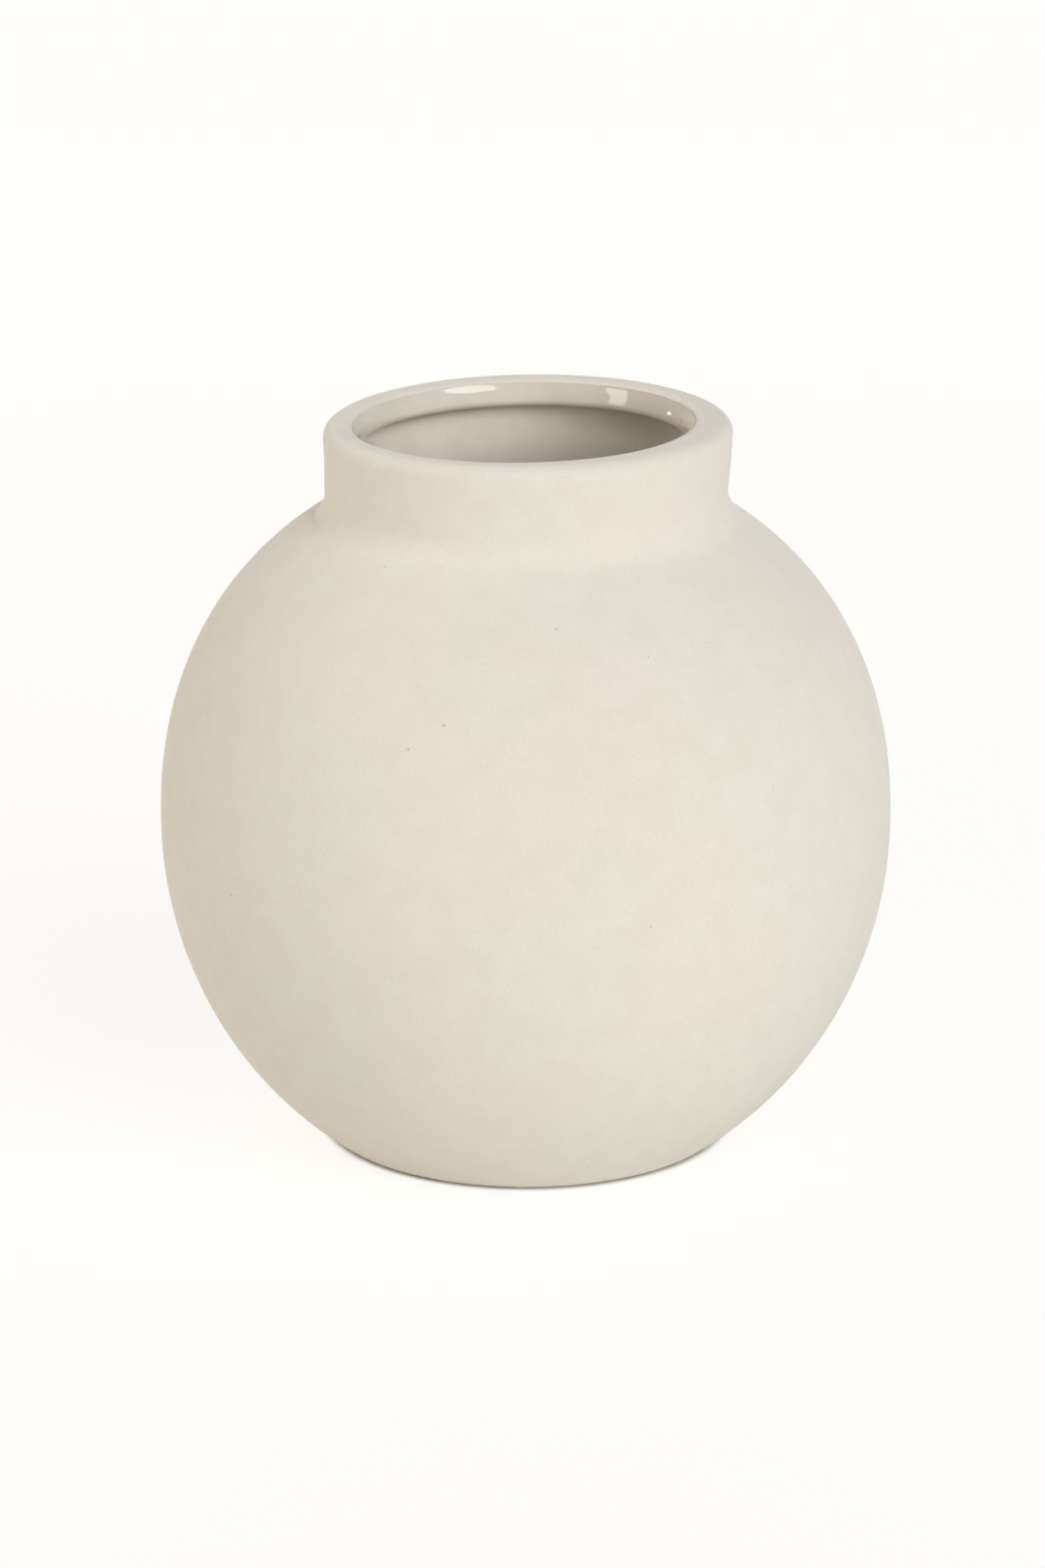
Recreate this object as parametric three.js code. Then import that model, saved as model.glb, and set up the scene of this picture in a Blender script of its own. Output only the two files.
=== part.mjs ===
// A balloon vase in white stoneware: a thin-walled globe on a low foot, with a short upright
// collar and a thick rolled lip. The outside is bare matt clay and the inside has a gloss glaze.
// The potter forms the globe, the collar and the foot ring apart, lutes them together with slip,
// and glazes the inside last. Everything is turned about the Z axis and stands on z = 0.
// Units are millimetres, +Z is up and the origin is the centre of the standing circle.

import * as THREE from "three";

// Globe. Walls are measured from the bare clay outside to the glaze inside.
const globeDiameter = 180;
const widestHeight = 80.5;
const lowerFullness = 2;
const upperFullness = 2.17;
const globeWall = 6;
const floorThickness = 7;
const floorCornerRadius = 14;

// Foot ring
const footDiameter = 98;
const footHeight = 4;
const footWidth = 9;
const footEdgeRadius = 1.2;

// Collar, whose face flares from the shoulder to the rim
const shoulderHeight = 158;
const shoulderDiameter = 97.6;
const collarHeight = 22;
const collarTopDiameter = 99.6;
const collarWall = 6;
const throatRadius = 3;

// Rim, with a lip that rolls inwards and overhangs the collar's bore
const rimWidth = 9.9;
const rimEdgeRadius = 3;
const lipRadius = 4.4;
const lipDepth = 6.1;
const lipEdgeRadius = 1.2;
const undercutRadius = 1.6;

// Slip joints
const slipThickness = 0.6;
const seatDrop = 1.5;
const coveRadius = 3;

// Glaze, which ends part of the way up the lip
const glazeThickness = 0.6;
const glazeDrop = 0.8;
const clearance = 0.3;

// Smoothness
const turns = 48;
const outerSteps = 9;
const innerSteps = 6;
const cornerSteps = 3;
const searchSteps = 50;
const joinTolerance = 0.01;

const quarter = Math.PI / 2;
const half = Math.PI;
const globeRadius = globeDiameter / 2;
const footRadius = footDiameter / 2;
const recessRadius = footRadius - footWidth;
const collarBaseRadius = shoulderDiameter / 2;
const collarTopRadius = collarTopDiameter / 2;
const mouthRadius = collarTopRadius - rimWidth;
const rimHeight = shoulderHeight + collarHeight;
const seatHeight = shoulderHeight - seatDrop;
const collarFootHeight = seatHeight + slipThickness;
const ringTopHeight = footHeight - slipThickness;
const floorHeight = footHeight + floorThickness;
const flare = Math.atan2(collarTopRadius - collarBaseRadius, collarHeight);

// The globe's section is a superellipse. Each reach is the distance from the widest circle to
// where the curve would meet the axis, chosen so that it passes through the foot circle below
// and the collar's base circle above.
const lowerReach = reach(widestHeight, footRadius, lowerFullness);
const upperReach = reach(shoulderHeight - widestHeight, collarBaseRadius, upperFullness);

function reach(height, radius, fullness) {
  return height / (1 - (radius / globeRadius) ** fullness) ** (1 / fullness);
}

function at(radius, height) {
  return new THREE.Vector2(radius, height);
}

function bearing(direction) {
  return Math.atan2(direction.y, direction.x);
}

// A station is a point of the section and its unit normal, which points into the hollow.
function sunk({ point, inward }, depth) {
  return point.clone().addScaledVector(inward, depth);
}

function points(stations, depth = 0) {
  return stations.map((station) => sunk(station, depth));
}

// The globe's outer surface. The angle is 0 at the widest circle and negative below it.
function globeStation(angle) {
  const fullness = angle < 0 ? lowerFullness : upperFullness;
  const tall = angle < 0 ? lowerReach : upperReach;
  const side = Math.sign(angle);
  const across = Math.cos(angle) ** (2 / fullness);
  const up = Math.abs(Math.sin(angle)) ** (2 / fullness);
  const normal = at(across ** (fullness - 1) / globeRadius, (side * up ** (fullness - 1)) / tall);
  return {
    point: at(globeRadius * across, widestHeight + side * tall * up),
    inward: normal.normalize().negate(),
  };
}

function globePoint(angle, depth = 0) {
  return sunk(globeStation(angle), depth);
}

// The radius of the collar's face, or of a parallel face a depth behind it.
function collarRadius(height, depth = 0) {
  return collarBaseRadius + (height - shoulderHeight) * Math.tan(flare) - depth / Math.cos(flare);
}

// The value between low and high at which a steady measure passes zero.
function solve(measure, low, high) {
  const rising = measure(high) > measure(low);
  for (let step = 0; step < searchSteps; step += 1) {
    const middle = (low + high) / 2;
    if (measure(middle) > 0 === rising) {
      high = middle;
    } else {
      low = middle;
    }
  }
  return (low + high) / 2;
}

function angleAtHeight(height, depth = 0) {
  return solve((angle) => globePoint(angle, depth).y - height, -quarter, quarter);
}

// Where a face at one depth behind the globe meets a face at another depth behind the collar.
function angleAtCollar(depth, collarDepth) {
  const past = ({ x, y }) => x - collarRadius(y, collarDepth);
  return solve((angle) => past(globePoint(angle, depth)), 0, quarter);
}

function spread(from, to, steps, make) {
  return Array.from({ length: steps + 1 }, (_, i) => make(from + ((to - from) * i) / steps));
}

// Stations along the globe, with one on its widest circle where the stretch crosses it.
function globeStretch(from, to, steps) {
  if (from * to < 0) {
    return [...spread(from, 0, steps, globeStation), ...spread(0, to, steps, globeStation)];
  }
  return spread(from, to, steps, globeStation);
}

// A round corner, swept between two bearings from its centre. The normal points away from the
// centre on a nose, and towards it in a fillet.
function nose(centre, radius, from, to) {
  return spread(from, to, cornerSteps, (angle) => {
    const inward = at(Math.cos(angle), Math.sin(angle));
    return { point: centre.clone().addScaledVector(inward, radius), inward };
  });
}

function fillet(centre, radius, from, to) {
  return nose(centre, radius, from, to).map(({ point, inward }) => ({ point, inward: inward.negate() }));
}

function apart(point, other) {
  return point.distanceTo(other) > joinTolerance;
}

const lipCentre = at(mouthRadius + lipRadius, rimHeight - lipRadius);
const glazeBearing = half - Math.asin((lipRadius - glazeDrop) / lipRadius);

// The glazed inside, from the glaze's edge on the lip to the middle of the floor.
function glazedSurface() {
  // The lip turns under and out to the bore in two arcs with a common tangent. A level ledge
  // parts them where the lip overhangs the bore by more than both radii.
  const bothRadii = lipEdgeRadius + undercutRadius;
  const lipEdge = at(mouthRadius + lipEdgeRadius, rimHeight - lipDepth + lipEdgeRadius);
  const undercutAt = (swing) => {
    const height = lipEdge.y - bothRadii * Math.sin(swing);
    return at(collarRadius(height, collarWall + undercutRadius), height);
  };
  const overlap = (swing) => undercutAt(swing).x - lipEdge.x + bothRadii * Math.cos(swing);
  const swing = solve((angle) => -overlap(angle), 0, quarter);

  // The throat rolls from the bore onto the globe's inside, and a fillet leads to the floor.
  const throatAngle = angleAtCollar(globeWall - throatRadius, collarWall - throatRadius);
  const throat = globePoint(throatAngle, globeWall - throatRadius);
  const throatEnd = bearing(globeStation(throatAngle).inward) + 2 * half;
  const bendAngle = angleAtHeight(floorHeight + floorCornerRadius, globeWall + floorCornerRadius);
  const bend = globePoint(bendAngle, globeWall + floorCornerRadius);
  const bendStart = bearing(globeStation(bendAngle).inward) - half;
  const wall = globeStretch(throatAngle, bendAngle, innerSteps);

  const stations = [
    ...nose(lipCentre, lipRadius, glazeBearing, half),
    ...nose(lipEdge, lipEdgeRadius, half, half + swing),
    ...fillet(undercutAt(swing), undercutRadius, swing, -flare),
    ...nose(throat, throatRadius, half - flare, throatEnd),
    ...wall.map((station) => ({ point: sunk(station, globeWall), inward: station.inward })),
    ...fillet(bend, floorCornerRadius, bendStart, -quarter),
    { point: at(0, floorHeight), inward: at(0, 1) },
  ];
  return stations.filter(({ point }, i) => i === 0 || apart(point, stations[i - 1].point));
}

const glazed = glazedSurface();
const clayDepth = glazeThickness + clearance;
const clayInside = points(glazed, -clayDepth);

// Where the clay's inside passes a height.
function clayAt(height) {
  const next = clayInside.findIndex((point) => point.y <= height);
  const above = clayInside[next - 1];
  const below = clayInside[next];
  return at(THREE.MathUtils.mapLinear(height, above.y, below.y, above.x, below.x), height);
}

// Turns a section about the vertical axis. The section runs anticlockwise, with the radius to
// the right and the height up.
function turned(name, section, material) {
  const clean = section.filter((point, i) => i === 0 || apart(point, section[i - 1]));
  const geometry = new THREE.LatheGeometry(clean, turns);
  geometry.rotateX(quarter);
  const mesh = new THREE.Mesh(geometry, material);
  mesh.name = name;
  return mesh;
}

function ring(name, section, material) {
  return turned(name, [...section, section[0].clone()], material);
}

const mattClay = new THREE.MeshStandardMaterial({ color: 0xe4dfd2, roughness: 0.85, metalness: 0 });
const footClay = new THREE.MeshStandardMaterial({ color: 0xd9cfbd, roughness: 0.95, metalness: 0 });
const slipClay = new THREE.MeshStandardMaterial({ color: 0xe2dccf, roughness: 0.88, metalness: 0 });
const glossGlaze = new THREE.MeshStandardMaterial({ color: 0xd8d2c3, roughness: 0.15, metalness: 0 });

// The globe has a flat base for the foot ring and a level seat for the collar.
function makeBelly() {
  const outside = globeStretch(angleAtHeight(footHeight), angleAtHeight(seatHeight), outerSteps);
  return turned(
    "belly",
    [
      at(0, footHeight),
      ...points(outside),
      clayAt(seatHeight),
      ...clayInside.filter((point) => point.y < seatHeight),
    ],
    mattClay,
  );
}

// The collar stands on a level foot. Above the glaze its lip is bare clay, a step proud of the
// clay that the glaze covers.
function makeCollar() {
  const rimEdgeHeight = rimHeight - rimEdgeRadius;
  const rimEdge = at(collarRadius(rimEdgeHeight, rimEdgeRadius), rimEdgeHeight);
  const bareLip = nose(lipCentre, lipRadius, quarter, glazeBearing - clearance / lipRadius);
  return ring(
    "collar",
    [
      clayAt(collarFootHeight),
      at(collarRadius(collarFootHeight), collarFootHeight),
      ...points(nose(rimEdge, rimEdgeRadius, -flare, quarter)),
      ...points(bareLip),
      sunk(bareLip.at(-1), -clayDepth),
      ...clayInside.filter((point) => point.y > collarFootHeight),
    ],
    mattClay,
  );
}

// The slip fills the joint between collar and globe. What squeezes out is smoothed to a cove
// that is tangent to the globe.
function makeCollarSlip() {
  const coveAngle = angleAtCollar(-coveRadius, -coveRadius);
  const coveStart = bearing(globeStation(coveAngle).inward);
  const coveEnd = Math.acos(1 - clearance / coveRadius) - half - flare;
  return ring(
    "collar_slip_joint",
    [
      clayAt(seatHeight),
      globePoint(angleAtHeight(seatHeight)),
      ...points(nose(globePoint(coveAngle, -coveRadius), coveRadius, coveStart, coveEnd)),
      at(collarRadius(collarFootHeight, -clearance), collarFootHeight),
      clayAt(collarFootHeight),
    ],
    slipClay,
  );
}

// The foot ring carries the globe's curve down to the table round a shallow recess.
function makeFootRing() {
  const edgeAngle = angleAtHeight(footEdgeRadius, footEdgeRadius);
  const outerEdge = globePoint(edgeAngle, footEdgeRadius);
  const innerEdge = at(recessRadius + footEdgeRadius, footEdgeRadius);
  const edgeEnd = bearing(globeStation(edgeAngle).inward) - half;
  return ring(
    "foot_ring",
    [
      ...points(nose(innerEdge, footEdgeRadius, half, half + quarter)),
      ...points(nose(outerEdge, footEdgeRadius, -quarter, edgeEnd)),
      globePoint(angleAtHeight(ringTopHeight)),
      at(recessRadius, ringTopHeight),
    ],
    footClay,
  );
}

// The slip that holds the foot ring to the globe is wiped flush on both sides.
function makeFootSlip() {
  return ring(
    "foot_slip_joint",
    [
      at(recessRadius, ringTopHeight),
      globePoint(angleAtHeight(ringTopHeight)),
      globePoint(angleAtHeight(footHeight)),
      at(recessRadius, footHeight),
    ],
    slipClay,
  );
}

// The glaze is one unbroken skin from the lip to the middle of the floor.
function makeLinerGlaze() {
  const back = points(glazed, -glazeThickness).reverse();
  return turned("liner_glaze", [...back, ...points(glazed)], glossGlaze);
}

const vase = new THREE.Group();
vase.name = "balloon_vase";
vase.add(
  makeBelly(),
  makeCollarSlip(),
  makeCollar(),
  makeFootSlip(),
  makeFootRing(),
  makeLinerGlaze(),
);

export default vase;
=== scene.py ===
import math

import bmesh
import bpy
from mathutils import Matrix, Vector


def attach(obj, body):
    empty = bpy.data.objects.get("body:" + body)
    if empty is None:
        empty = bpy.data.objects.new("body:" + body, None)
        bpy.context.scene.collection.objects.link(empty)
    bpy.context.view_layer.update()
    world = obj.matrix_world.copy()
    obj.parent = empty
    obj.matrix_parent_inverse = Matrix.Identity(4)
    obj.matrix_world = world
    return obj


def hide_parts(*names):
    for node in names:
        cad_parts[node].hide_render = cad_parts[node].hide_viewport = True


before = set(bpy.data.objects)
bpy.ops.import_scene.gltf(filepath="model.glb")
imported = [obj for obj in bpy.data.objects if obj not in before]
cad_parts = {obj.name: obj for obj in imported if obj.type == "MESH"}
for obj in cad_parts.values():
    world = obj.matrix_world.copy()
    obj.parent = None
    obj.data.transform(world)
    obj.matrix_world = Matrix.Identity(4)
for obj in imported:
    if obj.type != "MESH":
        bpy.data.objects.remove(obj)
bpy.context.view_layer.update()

MM = 0.001
RIGHT = Vector((1, 0, 0))
BACK = Vector((0, 1, 0))
UP = Vector((0, 0, 1))

# The vase's sizes are in millimetres, and its finished pieces in metres.

# The globe. Fullness 2 is an ellipse, and more is squarer.
GLOBE_RADIUS = 90
WIDEST_HEIGHT = 80.5
LOWER_FULLNESS = 2
UPPER_FULLNESS = 2.17
WALL = 6
FLOOR_HEIGHT = 11
FLOOR_CORNER = 12

# The foot ring and the slip above it
FOOT_RADIUS = 49
FOOT_HEIGHT = 4
FOOT_WIDTH = 9
FOOT_EDGE = 1.5
FOOT_SLIP = 0.6
FOOT_INNER = FOOT_RADIUS - FOOT_WIDTH
FOOT_TOP = FOOT_HEIGHT - FOOT_SLIP

# The collar, its seat on the globe and the cove of slip round it, whose thin edges lie a feather
# deep in the clay
SHOULDER_HEIGHT = 158
SHOULDER_RADIUS = 48.8
SEAT_HEIGHT = 156.5
SEAT_SLIP = 0.6
COLLAR_FOOT = SEAT_HEIGHT + SEAT_SLIP
COVE_ROUNDING = 9.5
COVE_SPREAD = 6
COVE_RADIUS = SHOULDER_RADIUS + COVE_SPREAD
COVE_TOP = SHOULDER_HEIGHT + COVE_SPREAD
FEATHER = 0.03
BORE_RADIUS = 44.4
THROAT_ROUNDING = 20

# The rim and the lip, whose face slopes in and down from the rim's top to the mouth. Each corner
# of the lip has a radius, a height and a rounding: shoulder, face, lower edge and undercut.
RIM_HEIGHT = 180
RIM_RADIUS = 49.8
RIM_EDGE = 3.2
MOUTH_RADIUS = 39
LIP_BOTTOM = 173.9
LIP_CORNERS = (
    ((42.2, RIM_HEIGHT), 3.1),
    ((39.6, 176.8), 6.3),
    ((MOUTH_RADIUS, LIP_BOTTOM), 1.2),
    ((BORE_RADIUS, LIP_BOTTOM), 1.6),
)

# The glaze, which ends on the lip's shoulder
GLAZE_EDGE = 179.2
GLAZE_THICKNESS = 0.25

# Traces of hand work: the collar, its rim and its lip each lean a little, the rim waves, the
# mouth sits off the collar's middle and the cove is fuller on one side
COLLAR_LEAN = 0.5
RIM_LEAN = 0.65
LIP_LEAN = 0.35
RIM_WAVE = 0.2
WAVES_ROUND = 2
MOUTH_SHIFT = 1.15
COVE_SWING = 0.35

# How finely the sections are cut and turned, and how near is the same place
TINY = 1e-4
TURNS = 256
GLOBE_CUTS = 120
INSIDE_CUTS = 60
FOOT_CUTS = 2
FLAT_CUTS = 9
CORNER_STEPS = 12
CREASE = math.radians(38)


def reach(height, radius, fullness):
    """The half height of the globe whose section passes through a radius at a height."""
    return height / (1 - (radius / GLOBE_RADIUS) ** fullness) ** (1 / fullness)


LOWER_REACH = reach(WIDEST_HEIGHT, FOOT_RADIUS, LOWER_FULLNESS)
UPPER_REACH = reach(SHOULDER_HEIGHT - WIDEST_HEIGHT, SHOULDER_RADIUS, UPPER_FULLNESS)


def globe_radius(height, depth=0):
    """The globe's radius at a height, on its outside or at a depth within it."""
    tall, fullness = UPPER_REACH, UPPER_FULLNESS
    if height < WIDEST_HEIGHT:
        tall, fullness = LOWER_REACH, LOWER_FULLNESS
    share = min(1, abs(height - WIDEST_HEIGHT) / (tall - depth))
    return (GLOBE_RADIUS - depth) * (1 - share**fullness) ** (1 / fullness)


def globe_height(radius, depth=0):
    """The height at which the globe's upper half has a radius."""
    share = (radius / (GLOBE_RADIUS - depth)) ** UPPER_FULLNESS
    return WIDEST_HEIGHT + (UPPER_REACH - depth) * (1 - share) ** (1 / UPPER_FULLNESS)


def collar_radius(height, depth=0):
    """The radius of the collar's flaring face, or of a face at a depth behind it."""
    rise = (height - SHOULDER_HEIGHT) / (RIM_HEIGHT - SHOULDER_HEIGHT)
    return SHOULDER_RADIUS + (RIM_RADIUS - SHOULDER_RADIUS) * rise - depth


def ease(value, low, high):
    """0 below low, 1 above high and a smooth rise between them. Low may be the greater."""
    share = max(0, min(1, (value - low) / (high - low)))
    return share * share * (3 - 2 * share)


def section(corners, closed=False):
    """A wire in the XZ plane through corners, which are pairs of radius and height."""
    bm = bmesh.new()
    verts = [bm.verts.new((radius, 0, height)) for radius, height in corners]
    for pair in zip(verts, verts[1:]):
        bm.edges.new(pair)
    if closed:
        bm.edges.new((verts[-1], verts[0]))
    return bm


def corner(bm, radius, height):
    """The corner of a section that is nearest to a radius and height."""
    spot = Vector((radius, 0, height))
    return min(bm.verts, key=lambda vert: (vert.co - spot).length)


def swell(bm, low, high, depth, cuts):
    """Bends the edge between two corners out to the globe, at a depth within its outside."""
    edge = bm.edges.get((corner(bm, *low), corner(bm, *high)))
    made = bmesh.ops.subdivide_edges(bm, edges=[edge], cuts=cuts)
    for vert in made["geom_inner"]:
        if isinstance(vert, bmesh.types.BMVert):
            vert.co.x = globe_radius(vert.co.z, depth)


def round_off(bm, radius, height, rounding):
    """Rounds the corner of a section that is nearest to a radius and height."""
    vert = corner(bm, radius, height)
    first, second = [edge.other_vert(vert).co - vert.co for edge in vert.link_edges]
    bmesh.ops.bevel(
        bm,
        geom=[vert],
        affect="VERTICES",
        offset=rounding / math.tan(first.angle(second) / 2),
        segments=CORNER_STEPS,
        profile=0.5,
        material=-1,
    )


def hold_flat(bm, radius, height):
    """Splits the section's edge at a place, so that the roundings at its ends shade apart."""
    spot = Vector((radius, 0, height))

    def distance(edge):
        return ((edge.verts[0].co + edge.verts[1].co) / 2 - spot).length

    bmesh.ops.subdivide_edges(bm, edges=[min(bm.edges, key=distance)], cuts=FLAT_CUTS)


def turn(bm):
    """Spins a section once round the vase's axis and points its faces outwards."""
    bmesh.ops.spin(
        bm,
        geom=bm.verts[:] + bm.edges[:],
        axis=UP,
        angle=2 * math.pi,
        steps=TURNS,
        use_merge=True,
    )
    bmesh.ops.remove_doubles(bm, verts=bm.verts, dist=TINY)
    bmesh.ops.recalc_face_normals(bm, faces=bm.faces)


def hand_work(bm):
    """Leans the collar, the rim and the lip up to the right, and moves the mouth to the left."""
    for vert in bm.verts:
        high = ease(vert.co.z, SHOULDER_HEIGHT, LIP_BOTTOM)
        inner = ease(Vector(vert.co.xy).length, RIM_RADIUS, MOUTH_RADIUS)
        lean = (RIM_LEAN + LIP_LEAN * inner) * vert.co.x / RIM_RADIUS
        wave = RIM_WAVE * math.cos(WAVES_ROUND * math.atan2(vert.co.y, vert.co.x))
        vert.co.z += high * (lean - wave * (1 - inner))
        vert.co.x += high * (COLLAR_LEAN - MOUTH_SHIFT * inner)


def add(name, data):
    """Puts a mesh, a lamp or a camera in the scene."""
    made = bpy.data.objects.new(name, data)
    bpy.context.scene.collection.objects.link(made)
    return made


def add_mesh(name, bm, material):
    """Puts a bmesh in the scene as an object of one material."""
    mesh = bpy.data.meshes.new(name)
    bm.to_mesh(mesh)
    bm.free()
    mesh.materials.append(material)
    return add(name, mesh)


def finish_piece(bm, name, material, node):
    """Makes a turned mesh a piece of the vase, in metres, in the place of a CAD node."""
    hand_work(bm)
    bmesh.ops.scale(bm, vec=(MM, MM, MM), verts=bm.verts)
    piece = add_mesh(name, bm, material)
    piece.data.shade_smooth()
    piece.data.set_sharp_from_angle(angle=CREASE)
    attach(piece, "root")
    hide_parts(node)


class Recipe:
    """A material, or the world, and the nodes that mix it. A material's patterns are laid on
    the piece's own coordinates."""

    def __init__(self, name, world=None, **shader_values):
        """Sets values on the shader's sockets, in whose names _ stands for a space."""
        self.material = world or bpy.data.materials.new(name)
        self.material.use_nodes = True
        self.tree = self.material.node_tree
        self.shader = self.tree.nodes.get("Principled BSDF")
        for socket, value in shader_values.items():
            self.shader.inputs[socket.replace("_", " ")].default_value = value
        self.place = self.node("ShaderNodeTexCoord").outputs["Generated" if world else "Object"]

    def node(self, kind, **settings):
        made = self.tree.nodes.new(kind)
        for setting, value in settings.items():
            setattr(made, setting, value)
        return made

    def feed(self, socket, source):
        """Links another socket to a socket, or writes a value on it."""
        if isinstance(source, bpy.types.NodeSocket):
            self.tree.links.new(source, socket)
        else:
            socket.default_value = source

    def give(self, socket, source):
        """Feeds one of the shader's sockets."""
        self.feed(self.shader.inputs[socket], source)

    def cloud(self, size, detail):
        """Soft random patches of about a size in millimetres."""
        noise = self.node("ShaderNodeTexNoise")
        noise.inputs["Scale"].default_value = 1 / (size * MM)
        noise.inputs["Detail"].default_value = detail
        self.feed(noise.inputs["Vector"], self.place)
        return noise.outputs["Fac"]

    def patches(self, size, detail, edges=(0.3, 0.7), values=(0, 1)):
        """A cloud that rises from one value to another between two of its levels. The usual
        edges take in nearly all of it."""
        return self.span(self.cloud(size, detail), *edges, *values)

    def specks(self, spacing, size, share):
        """Round specks on a share of the cells of a scattered grid, 1 in their middles."""
        cells = self.node("ShaderNodeTexVoronoi")
        cells.inputs["Scale"].default_value = 1 / (spacing * MM)
        self.feed(cells.inputs["Vector"], self.place)
        random = self.node("ShaderNodeSeparateColor")
        self.feed(random.inputs["Color"], cells.outputs["Color"])
        chosen = self.calculate("LESS_THAN", random.outputs["Red"], share)
        radius = self.times(random.outputs["Green"], size / spacing)
        near = self.span(cells.outputs["Distance"], 0, radius, 1, 0)
        return self.times(near, chosen)

    def speckled(self, body, tint, strength, **specks):
        """A colour with specks of another, which is as strong in their middles as is given."""
        share = self.span(self.specks(**specks), 0, SPECK_EDGE, 0, strength)
        return self.blend(share, body, tint)

    def calculate(self, operation, first, second):
        made = self.node("ShaderNodeMath", operation=operation)
        self.feed(made.inputs[0], first)
        self.feed(made.inputs[1], second)
        return made.outputs["Value"]

    def times(self, first, second):
        return self.calculate("MULTIPLY", first, second)

    def span(self, source, low, high, to_low=0, to_high=1):
        """Maps a range of a value smoothly to another range."""
        made = self.node("ShaderNodeMapRange", interpolation_type="SMOOTHSTEP")
        values = (source, low, high, to_low, to_high)
        sockets = ("Value", "From Min", "From Max", "To Min", "To Max")
        for socket, value in zip(sockets, values):
            self.feed(made.inputs[socket], value)
        return made.outputs["Result"]

    def blend(self, share, first, second):
        """A colour between two others."""
        made = self.node("ShaderNodeMix", data_type="RGBA")
        self.feed(made.inputs["Factor"], share)
        self.feed(made.inputs["A"], first)
        self.feed(made.inputs["B"], second)
        return made.outputs["Result"]

    def relief(self, *layers):
        """Bumps, each a pattern and its height in millimetres, laid one over another."""
        normal = None
        for pattern, height in layers:
            bump = self.node("ShaderNodeBump")
            bump.inputs["Distance"].default_value = height * MM
            self.feed(bump.inputs["Height"], pattern)
            if normal:
                self.feed(bump.inputs["Normal"], normal)
            normal = bump.outputs["Normal"]
        self.give("Normal", normal)

    def along(self, way):
        """How far a place lies along a direction."""
        made = self.node("ShaderNodeVectorMath", operation="DOT_PRODUCT")
        self.feed(made.inputs[0], self.place)
        made.inputs[1].default_value = way
        return made.outputs["Value"]

    def along_mm(self, way):
        """How far a place lies along a direction, in millimetres."""
        return self.along(way / MM)


def colour(red, green, blue):
    """A colour written in the usual 0 to 255, as the renderer's linear one."""
    def linear(value):
        share = value / 255
        return share / 12.92 if share <= 0.04045 else ((share + 0.055) / 1.055) ** 2.4

    return (linear(red), linear(green), linear(blue), 1)


# How much of a speck is its soft edge
SPECK_EDGE = 0.6

# The clay's colours, and the heights in millimetres between which the foot is rubbed and darkened
# with painted contact shade
CLAY_WARM = colour(232, 227, 215)
CLAY_COOL = colour(230, 228, 215)
CLAY_MOTTLING = colour(227, 222, 209)
CLAY_GRAIN = colour(216, 209, 193)
CLAY_SPECK = colour(150, 138, 116)
CLAY_RUBBED_AND_SHADED = colour(176, 166, 147)
FOOT_RUBBED_AND_SHADED = (1.2, 0.2)

# The glaze changes between the two places in millimetres that each pair gives, and its heights
# follow the rim's lean. Inside the vase it lies thick.
RIM_LEVEL = UP - RIGHT * (RIM_LEAN + LIP_LEAN) / RIM_RADIUS
GLAZE_PALE = colour(241, 234, 217)
GLAZE_CREAM = colour(236, 229, 211)
GLAZE_SPECK = colour(160, 148, 126)

# Over the lip it breaks thin and darker, partly as painted shade, and painted shade darkens it from
# left to right
THIN_AND_SHADED_HEIGHTS = (172, 174.5)
THIN_SHADE_ACROSS = (-20, 50)
THIN_SHADED_LEFT = colour(219, 213, 195)
THIN_SHADED_RIGHT = colour(199, 193, 175)
THIN_MOTTLING = colour(203, 197, 178)
THIN_MOTTLED = 0.4

# Just under the lip it is darkened on the right, where its shadow is deepest
SHADED_HEIGHTS = (163.5, 172.5)
SHADED_ACROSS = (0, 32)
SHADED = colour(189, 182, 162)

# Its wiped edge is dull at the front
WIPED_HEIGHTS = (177.8, 179.1)
WIPED_FROM_BACK = (30, 18)
WIPED_DULLNESS = 0.3


def clay_colour(recipe):
    """Cream stoneware with faint warm and cool patches, fine grain and a few dark specks."""
    patches = recipe.patches(size=42, detail=1, edges=(0.4, 0.6))
    mottling = recipe.patches(size=7, detail=3, edges=(0.35, 0.7), values=(0, 0.5))
    grain = recipe.patches(size=0.5, detail=2, edges=(0.35, 0.75), values=(0, 0.3))
    body = recipe.blend(patches, CLAY_WARM, CLAY_COOL)
    body = recipe.blend(mottling, body, CLAY_MOTTLING)
    body = recipe.blend(grain, body, CLAY_GRAIN)
    return recipe.speckled(body, CLAY_SPECK, 0.45, spacing=7, size=0.55, share=0.3)


def clay_relief(recipe):
    """The tooth of fired clay over the sponge's soft marks, with pinholes."""
    sponge_marks = recipe.cloud(size=24, detail=1)
    tooth = recipe.cloud(size=2.4, detail=3)
    grit = recipe.cloud(size=0.4, detail=3)
    pinholes = recipe.times(recipe.specks(spacing=5, size=0.5, share=0.35), -1)
    recipe.relief((sponge_marks, 0.25), (tooth, 0.05), (grit, 0.03), (pinholes, 0.12))


def matt_stoneware():
    recipe = Recipe("matt_stoneware", Diffuse_Roughness=0.6, IOR=1.45)
    recipe.give("Base Color", clay_colour(recipe))
    recipe.give("Roughness", recipe.patches(size=3, detail=2, values=(0.78, 0.92)))
    clay_relief(recipe)
    return recipe.material


def sponged_slip():
    recipe = Recipe("sponged_slip", Diffuse_Roughness=0.6, IOR=1.45)
    recipe.give("Base Color", clay_colour(recipe))
    recipe.give("Roughness", recipe.patches(size=1.5, detail=2, values=(0.76, 0.88)))
    clay_relief(recipe)
    return recipe.material


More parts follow.
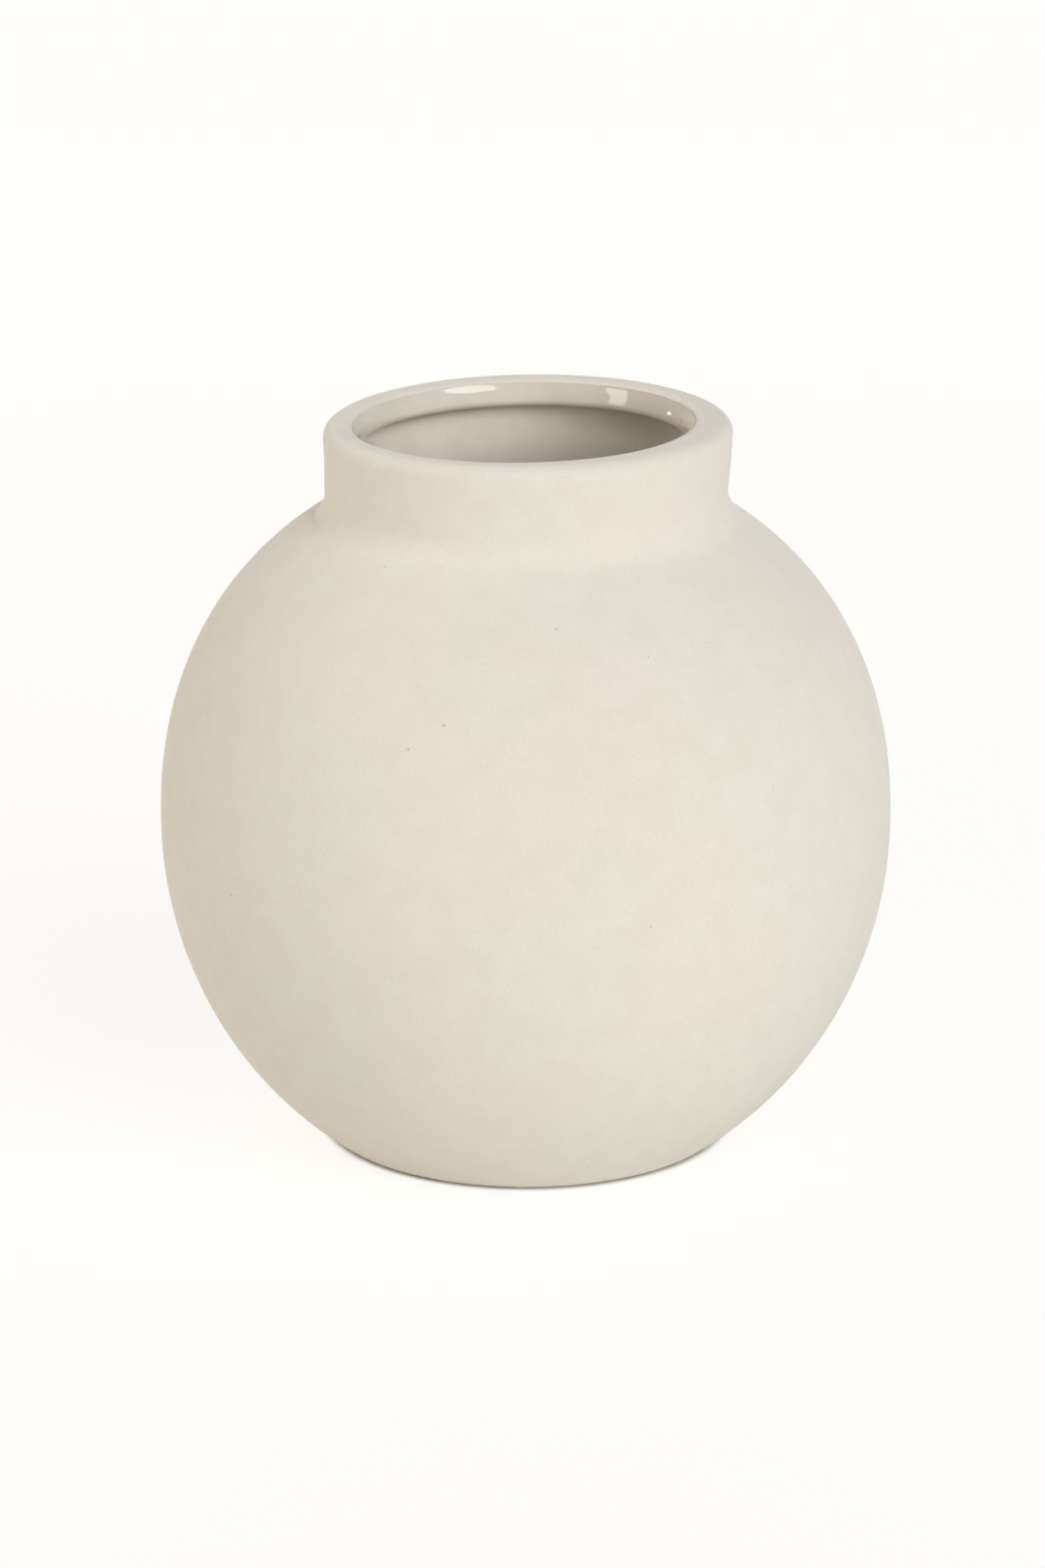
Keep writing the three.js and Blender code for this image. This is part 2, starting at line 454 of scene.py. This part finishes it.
def bare_foot_clay():
    """The stoneware again, rubbed darker and grittier where it stands on the table, the darkening
    partly painted contact shade.
    """
    recipe = Recipe("bare_foot_clay", Diffuse_Roughness=0.8, IOR=1.45)
    low = recipe.span(recipe.along_mm(UP), *FOOT_RUBBED_AND_SHADED)
    uneven = recipe.patches(size=1.8, detail=3, edges=(0.35, 0.65), values=(0.3, 0.9))
    # Rubbed wear with painted contact shade along the resting edge
    rubbed_and_shaded = recipe.times(low, uneven)
    recipe.give("Base Color", recipe.blend(rubbed_and_shaded, clay_colour(recipe), CLAY_RUBBED_AND_SHADED))
    recipe.give("Roughness", recipe.patches(size=1.5, detail=2, values=(0.86, 0.96)))
    clay_relief(recipe)
    return recipe.material


def glaze_colour(recipe):
    """Off-white with soft patches, thin and darker over the lip, partly as painted shade that grows
    to the right, with a painted shadow just under the lip on the right, and a few specks.
    """
    across = recipe.along_mm(RIGHT)
    level = recipe.along_mm(RIM_LEVEL)
    patches = recipe.patches(size=11, detail=2, edges=(0.35, 0.65))
    shaded = recipe.times(
        recipe.span(across, *SHADED_ACROSS), recipe.span(level, *SHADED_HEIGHTS)
    )
    thick = recipe.blend(shaded, recipe.blend(patches, GLAZE_PALE, GLAZE_CREAM), SHADED)
    # The thin glaze over the lip, with painted shade darker towards the right
    thin_and_shaded = recipe.blend(recipe.span(across, *THIN_SHADE_ACROSS), THIN_SHADED_LEFT, THIN_SHADED_RIGHT)
    thin_and_shaded = recipe.blend(recipe.times(patches, THIN_MOTTLED), thin_and_shaded, THIN_MOTTLING)
    body = recipe.blend(recipe.span(level, *THIN_AND_SHADED_HEIGHTS), thick, thin_and_shaded)
    return recipe.speckled(body, GLAZE_SPECK, 0.4, spacing=6, size=0.5, share=0.3)


def gloss_glaze():
    """A wavy gloss that dulls along its wiped edge at the front."""
    recipe = Recipe("gloss_glaze", IOR=1.52)
    recipe.give("Base Color", glaze_colour(recipe))
    gloss = recipe.patches(size=4, detail=2, values=(0.025, 0.05))
    front = recipe.span(recipe.along_mm(BACK), *WIPED_FROM_BACK, 0, WIPED_DULLNESS)
    wiped = recipe.times(front, recipe.span(recipe.along_mm(RIM_LEVEL), *WIPED_HEIGHTS))
    recipe.give("Roughness", recipe.calculate("ADD", gloss, wiped))
    waves = recipe.cloud(size=9, detail=1)
    dimples = recipe.cloud(size=1.6, detail=2)
    recipe.relief((waves, 0.06), (dimples, 0.004))
    return recipe.material


def inside_corners():
    """The corners of the inside below the lip: undercut, throat, foot of the wall and middle."""
    return [
        LIP_CORNERS[-1][0],
        (BORE_RADIUS, globe_height(BORE_RADIUS, WALL)),
        (globe_radius(FLOOR_HEIGHT, WALL), FLOOR_HEIGHT),
        (0, FLOOR_HEIGHT),
    ]


def shape_inside(bm):
    """Bends the inside wall to the globe and rounds the throat and the floor's corner."""
    _, throat, wall_foot, _ = inside_corners()
    swell(bm, throat, wall_foot, WALL, INSIDE_CUTS)
    round_off(bm, *throat, THROAT_ROUNDING)
    round_off(bm, *wall_foot, FLOOR_CORNER)


def cut_level(bm, height, up):
    """Clears a section above a height, or below it where up is -1, and returns the cut ends."""
    bmesh.ops.bisect_plane(
        bm,
        geom=bm.verts[:] + bm.edges[:],
        dist=TINY,
        plane_co=UP * height,
        plane_no=UP * up,
        clear_outer=True,
    )
    return [vert for vert in bm.verts if abs(vert.co.z - height) < TINY]


def inside_radius(height):
    """The radius of the inside at a height."""
    bm = section(inside_corners())
    shape_inside(bm)
    radius = cut_level(bm, height, 1)[0].co.x
    bm.free()
    return radius


def make_belly(clay):
    """The globe, from its flat base to the collar's seat, with its wall and floor."""
    base = (globe_radius(FOOT_HEIGHT), FOOT_HEIGHT)
    seat = (globe_radius(SEAT_HEIGHT), SEAT_HEIGHT)
    bm = section([(0, FOOT_HEIGHT), base, seat, *inside_corners()])
    swell(bm, base, seat, 0, GLOBE_CUTS)
    shape_inside(bm)
    bm.edges.new(cut_level(bm, SEAT_HEIGHT, 1))
    turn(bm)
    finish_piece(bm, "belly_globe", clay, "belly")


def lip_corners():
    """The corners of the lip above its undercut."""
    return [place for place, _ in LIP_CORNERS[:-1]]


def round_lip(bm):
    """Rounds the lip's corners in a section."""
    for place, rounding in LIP_CORNERS:
        round_off(bm, *place, rounding)


def make_collar(clay):
    """The collar with its thick rim, rounded outside and sloping inwards to the lip."""
    foot = (collar_radius(COLLAR_FOOT), COLLAR_FOOT)
    rim = (RIM_RADIUS, RIM_HEIGHT)
    bm = section([foot, rim, *lip_corners(), *inside_corners()])
    round_off(bm, *rim, RIM_EDGE)
    round_lip(bm)
    shape_inside(bm)
    bm.edges.new(cut_level(bm, COLLAR_FOOT, -1))
    hold_flat(bm, collar_radius(COVE_TOP), COVE_TOP)
    turn(bm)
    finish_piece(bm, "collar_ring", clay, "collar")


def make_cove(slip):
    """The slip under the collar, wiped out to a cove over the globe and the collar's face."""
    bm = section(
        [
            (inside_radius(SEAT_HEIGHT), SEAT_HEIGHT),
            (globe_radius(SEAT_HEIGHT), SEAT_HEIGHT),
            (COVE_RADIUS, globe_height(COVE_RADIUS)),
            (SHOULDER_RADIUS, SHOULDER_HEIGHT),
            (collar_radius(COVE_TOP, FEATHER), COVE_TOP),
            (collar_radius(COLLAR_FOOT), COLLAR_FOOT),
            (inside_radius(COLLAR_FOOT), COLLAR_FOOT),
        ],
        closed=True,
    )
    round_off(bm, SHOULDER_RADIUS, SHOULDER_HEIGHT, COVE_ROUNDING)
    turn(bm)
    for vert in bm.verts:
        radius = Vector(vert.co.xy).length
        on_seat = vert.co.z < SEAT_HEIGHT + TINY and radius < globe_radius(SEAT_HEIGHT) + TINY
        if not on_seat and radius > collar_radius(COLLAR_FOOT) + TINY:
            vary_cove(vert, radius)
    finish_piece(bm, "collar_slip_cove", slip, "collar_slip_joint")


def vary_cove(vert, radius):
    """Lays the cove on the globe's curve and makes it smaller towards the left."""
    fall = (globe_height(COVE_RADIUS) - SHOULDER_HEIGHT) / COVE_SPREAD
    above = vert.co.z - SHOULDER_HEIGHT - fall * (radius - SHOULDER_RADIUS)
    size = 1 - COVE_SWING * (1 - vert.co.x / radius) / 2
    wanted = SHOULDER_RADIUS + (radius - SHOULDER_RADIUS) * size
    vert.co.x *= wanted / radius
    vert.co.y *= wanted / radius
    vert.co.z = globe_height(wanted) - FEATHER + above * size


def make_foot_ring(clay):
    """The ring that the vase stands on, which carries the globe's curve to the table."""
    inner, outer = (FOOT_INNER, 0), (FOOT_RADIUS, 0)
    top = (globe_radius(FOOT_TOP), FOOT_TOP)
    bm = section([inner, outer, top, (FOOT_INNER, FOOT_TOP)], closed=True)
    swell(bm, outer, top, 0, FOOT_CUTS)
    round_off(bm, *inner, FOOT_EDGE)
    round_off(bm, *outer, FOOT_EDGE)
    turn(bm)
    finish_piece(bm, "foot_ring_bare", clay, "foot_ring")


def make_foot_slip(slip):
    """The slip between the foot ring and the globe, wiped flush."""
    bm = section(
        [
            (FOOT_INNER, FOOT_TOP),
            (globe_radius(FOOT_TOP), FOOT_TOP),
            (globe_radius(FOOT_HEIGHT), FOOT_HEIGHT),
            (FOOT_INNER, FOOT_HEIGHT),
        ],
        closed=True,
    )
    turn(bm)
    finish_piece(bm, "foot_slip_line", slip, "foot_slip_joint")


def make_glaze(glaze):
    """The glaze, one skin from its edge on the lip's shoulder to the middle of the floor."""
    bm = section([(RIM_RADIUS, RIM_HEIGHT), *lip_corners(), *inside_corners()])
    round_lip(bm)
    shape_inside(bm)
    cut_level(bm, GLAZE_EDGE, 1)
    turn(bm)
    face_clay(bm)
    bmesh.ops.solidify(bm, geom=bm.faces[:], thickness=GLAZE_THICKNESS)
    finish_piece(bm, "liner_glaze_skin", glaze, "liner_glaze")


def face_clay(bm):
    """Points the faces of the open glaze skin at the clay, so that it thickens into the vase."""
    floor = min(bm.faces, key=lambda face: face.calc_center_median().length)
    if floor.normal.z > 0:
        bmesh.ops.reverse_faces(bm, faces=bm.faces)


# From here on, sizes are in metres and angles in degrees. The camera is as far and as high as
# the ellipses of the mouth, the collar's junction and the foot say.
CAMERA_DISTANCE = 1.44
CAMERA_RISE = 17.46
CAMERA_PIVOT = Vector((0, 0, 0.08046))
CAMERA_AIM = Vector((-0.0008, 0, 0.0876))
CAMERA_LENS = 133.79

# The soft light all round, as broad glows: the bearing of each to the right of the camera's
# side, its rise and its colour. The first is the main one, and the last three light the back.
GLOWS = (
    (37, 28, (6.35, 6.3, 6.6, 1)),
    (-30, -5, (5.6, 5.5, 5.3, 1)),
    (-90, -12, (7.6, 7, 6.2, 1)),
    (-120, 10, (2.9, 2.4, 1.8, 1)),
    (180, -12, (4.4, 4.7, 5.3, 1)),
    (180, 10, (1.4, 1.5, 1.8, 1)),
)
GLOW_FOCUS = 14
DARK = (0, 0, 0, 1)
WHITE = colour(254, 253, 251)

# The lamps that the lip mirrors stand all round the middle of the rim, at one distance
RIM_MIDDLE = Vector((0, 0, 0.175))
GLINT_DISTANCE = 1.2

# The floor that the vase stands on. A white glow takes a share of what is seen of it: none under
# the foot, STAGE_SHARE from the foot's edge on, and all of it far away, where its strength is 1.
STAGE_RADIUS = 8
STAGE_SIDES = 96
STAGE_COLOUR = colour(218, 216, 207)
STAGE_NEAR = (0.049, 0.052)
STAGE_FAR = (0.5, 1.6)
STAGE_SHARE = 0.7
STAGE_STRENGTH = 1.24


def direction(bearing, rise):
    """The way from the vase to a lamp, by its bearing from the camera's side and its rise."""
    across, up = math.radians(bearing), math.radians(rise)
    return Vector((math.sin(across) * math.cos(up), -math.cos(across) * math.cos(up), math.sin(up)))


def make_camera():
    data = bpy.data.cameras.new("camera")
    data.lens = CAMERA_LENS
    camera = add("camera", data)
    camera.location = CAMERA_PIVOT + direction(0, CAMERA_RISE) * CAMERA_DISTANCE
    camera.rotation_euler = (CAMERA_AIM - camera.location).to_track_quat("-Z", "Y").to_euler()
    bpy.context.scene.camera = camera


def make_glint(name, out, along, width, length, glow):
    """A flat lamp that shows only as a reflection in the lip, in the direction out from the
    mouth. Its length runs along a direction, and its glow is how many times white it looks."""
    data = bpy.data.lights.new(name, "AREA")
    data.shape = "RECTANGLE"
    data.size = width
    data.size_y = length
    data.energy = glow * math.pi * width * length
    across = along.cross(out).normalized()
    lamp = add(name, data)
    lamp.matrix_world = Matrix((across, out.cross(across), out)).transposed().to_4x4()
    lamp.location = RIM_MIDDLE + out * GLINT_DISTANCE
    lamp.visible_camera = False
    lamp.visible_diffuse = False


def make_glints():
    """A skylight high on the right, a strip that leans up and back on the left, and a small
    lamp."""
    make_glint(
        "skylight", direction(57.8, 61.4), direction(-12, -12), width=0.41, length=0.53, glow=5.5
    )
    low, high = direction(-70, 10), direction(-99, 53)
    make_glint("strip", (low + high).normalized(), high - low, width=0.27, length=1.02, glow=4.2)
    make_glint("spot", direction(-129, 11), UP, width=0.12, length=0.12, glow=4.8)


def seen_directly(recipe):
    """1 for what the camera sees straight, mirrored or through glass, and otherwise 0."""
    path = recipe.node("ShaderNodeLightPath")
    seen = path.outputs["Is Camera Ray"]
    for ray in ("Is Glossy Ray", "Is Transmission Ray"):
        seen = recipe.calculate("MAXIMUM", seen, path.outputs[ray])
    return seen


def make_surroundings():
    """The soft light all round, where the camera and the reflections see white."""
    world = bpy.data.worlds.new("surroundings")
    bpy.context.scene.world = world
    sky = Recipe("surroundings", world)
    light = DARK
    for bearing, rise, tint in GLOWS:
        facing = sky.along(direction(bearing, rise))
        lobe = sky.calculate("POWER", sky.calculate("MAXIMUM", facing, 0), GLOW_FOCUS)
        part = sky.node("ShaderNodeMix", data_type="RGBA", blend_type="ADD", clamp_result=False)
        sky.feed(part.inputs["Factor"], lobe)
        sky.feed(part.inputs["A"], light)
        sky.feed(part.inputs["B"], tint)
        light = part.outputs["Result"]
    seen = sky.blend(seen_directly(sky), light, WHITE)
    sky.feed(sky.tree.nodes["Background"].inputs["Color"], seen)


def pale_floor():
    """A pale surface that keeps the vase's shadow and fades to plain white far from it."""
    recipe = Recipe("pale_floor", Roughness=0.9)
    recipe.give("Base Color", STAGE_COLOUR)
    length = recipe.node("ShaderNodeVectorMath", operation="LENGTH")
    recipe.feed(length.inputs[0], recipe.place)
    away = length.outputs["Value"]
    near = recipe.span(away, *STAGE_NEAR, 0, STAGE_SHARE)
    share = recipe.span(away, *STAGE_FAR, near, 1)
    glow = recipe.node("ShaderNodeEmission")
    glow.inputs["Color"].default_value = WHITE
    recipe.feed(glow.inputs["Strength"], recipe.span(away, *STAGE_FAR, STAGE_STRENGTH, 1))
    join = recipe.node("ShaderNodeMixShader")
    recipe.feed(join.inputs[0], recipe.times(share, seen_directly(recipe)))
    recipe.feed(join.inputs[1], recipe.shader.outputs["BSDF"])
    recipe.feed(join.inputs[2], glow.outputs["Emission"])
    recipe.feed(recipe.tree.nodes["Material Output"].inputs["Surface"], join.outputs["Shader"])
    return recipe.material


def make_floor():
    bm = bmesh.new()
    bmesh.ops.create_circle(bm, cap_ends=True, radius=STAGE_RADIUS, segments=STAGE_SIDES)
    floor = add_mesh("floor", bm, pale_floor())


clay = matt_stoneware()
slip = sponged_slip()
make_belly(clay)
make_collar(clay)
make_cove(slip)
make_foot_slip(slip)
make_foot_ring(bare_foot_clay())
make_glaze(gloss_glaze())

make_camera()
make_glints()
make_surroundings()
make_floor()
bpy.context.scene.view_settings.view_transform = "Standard"
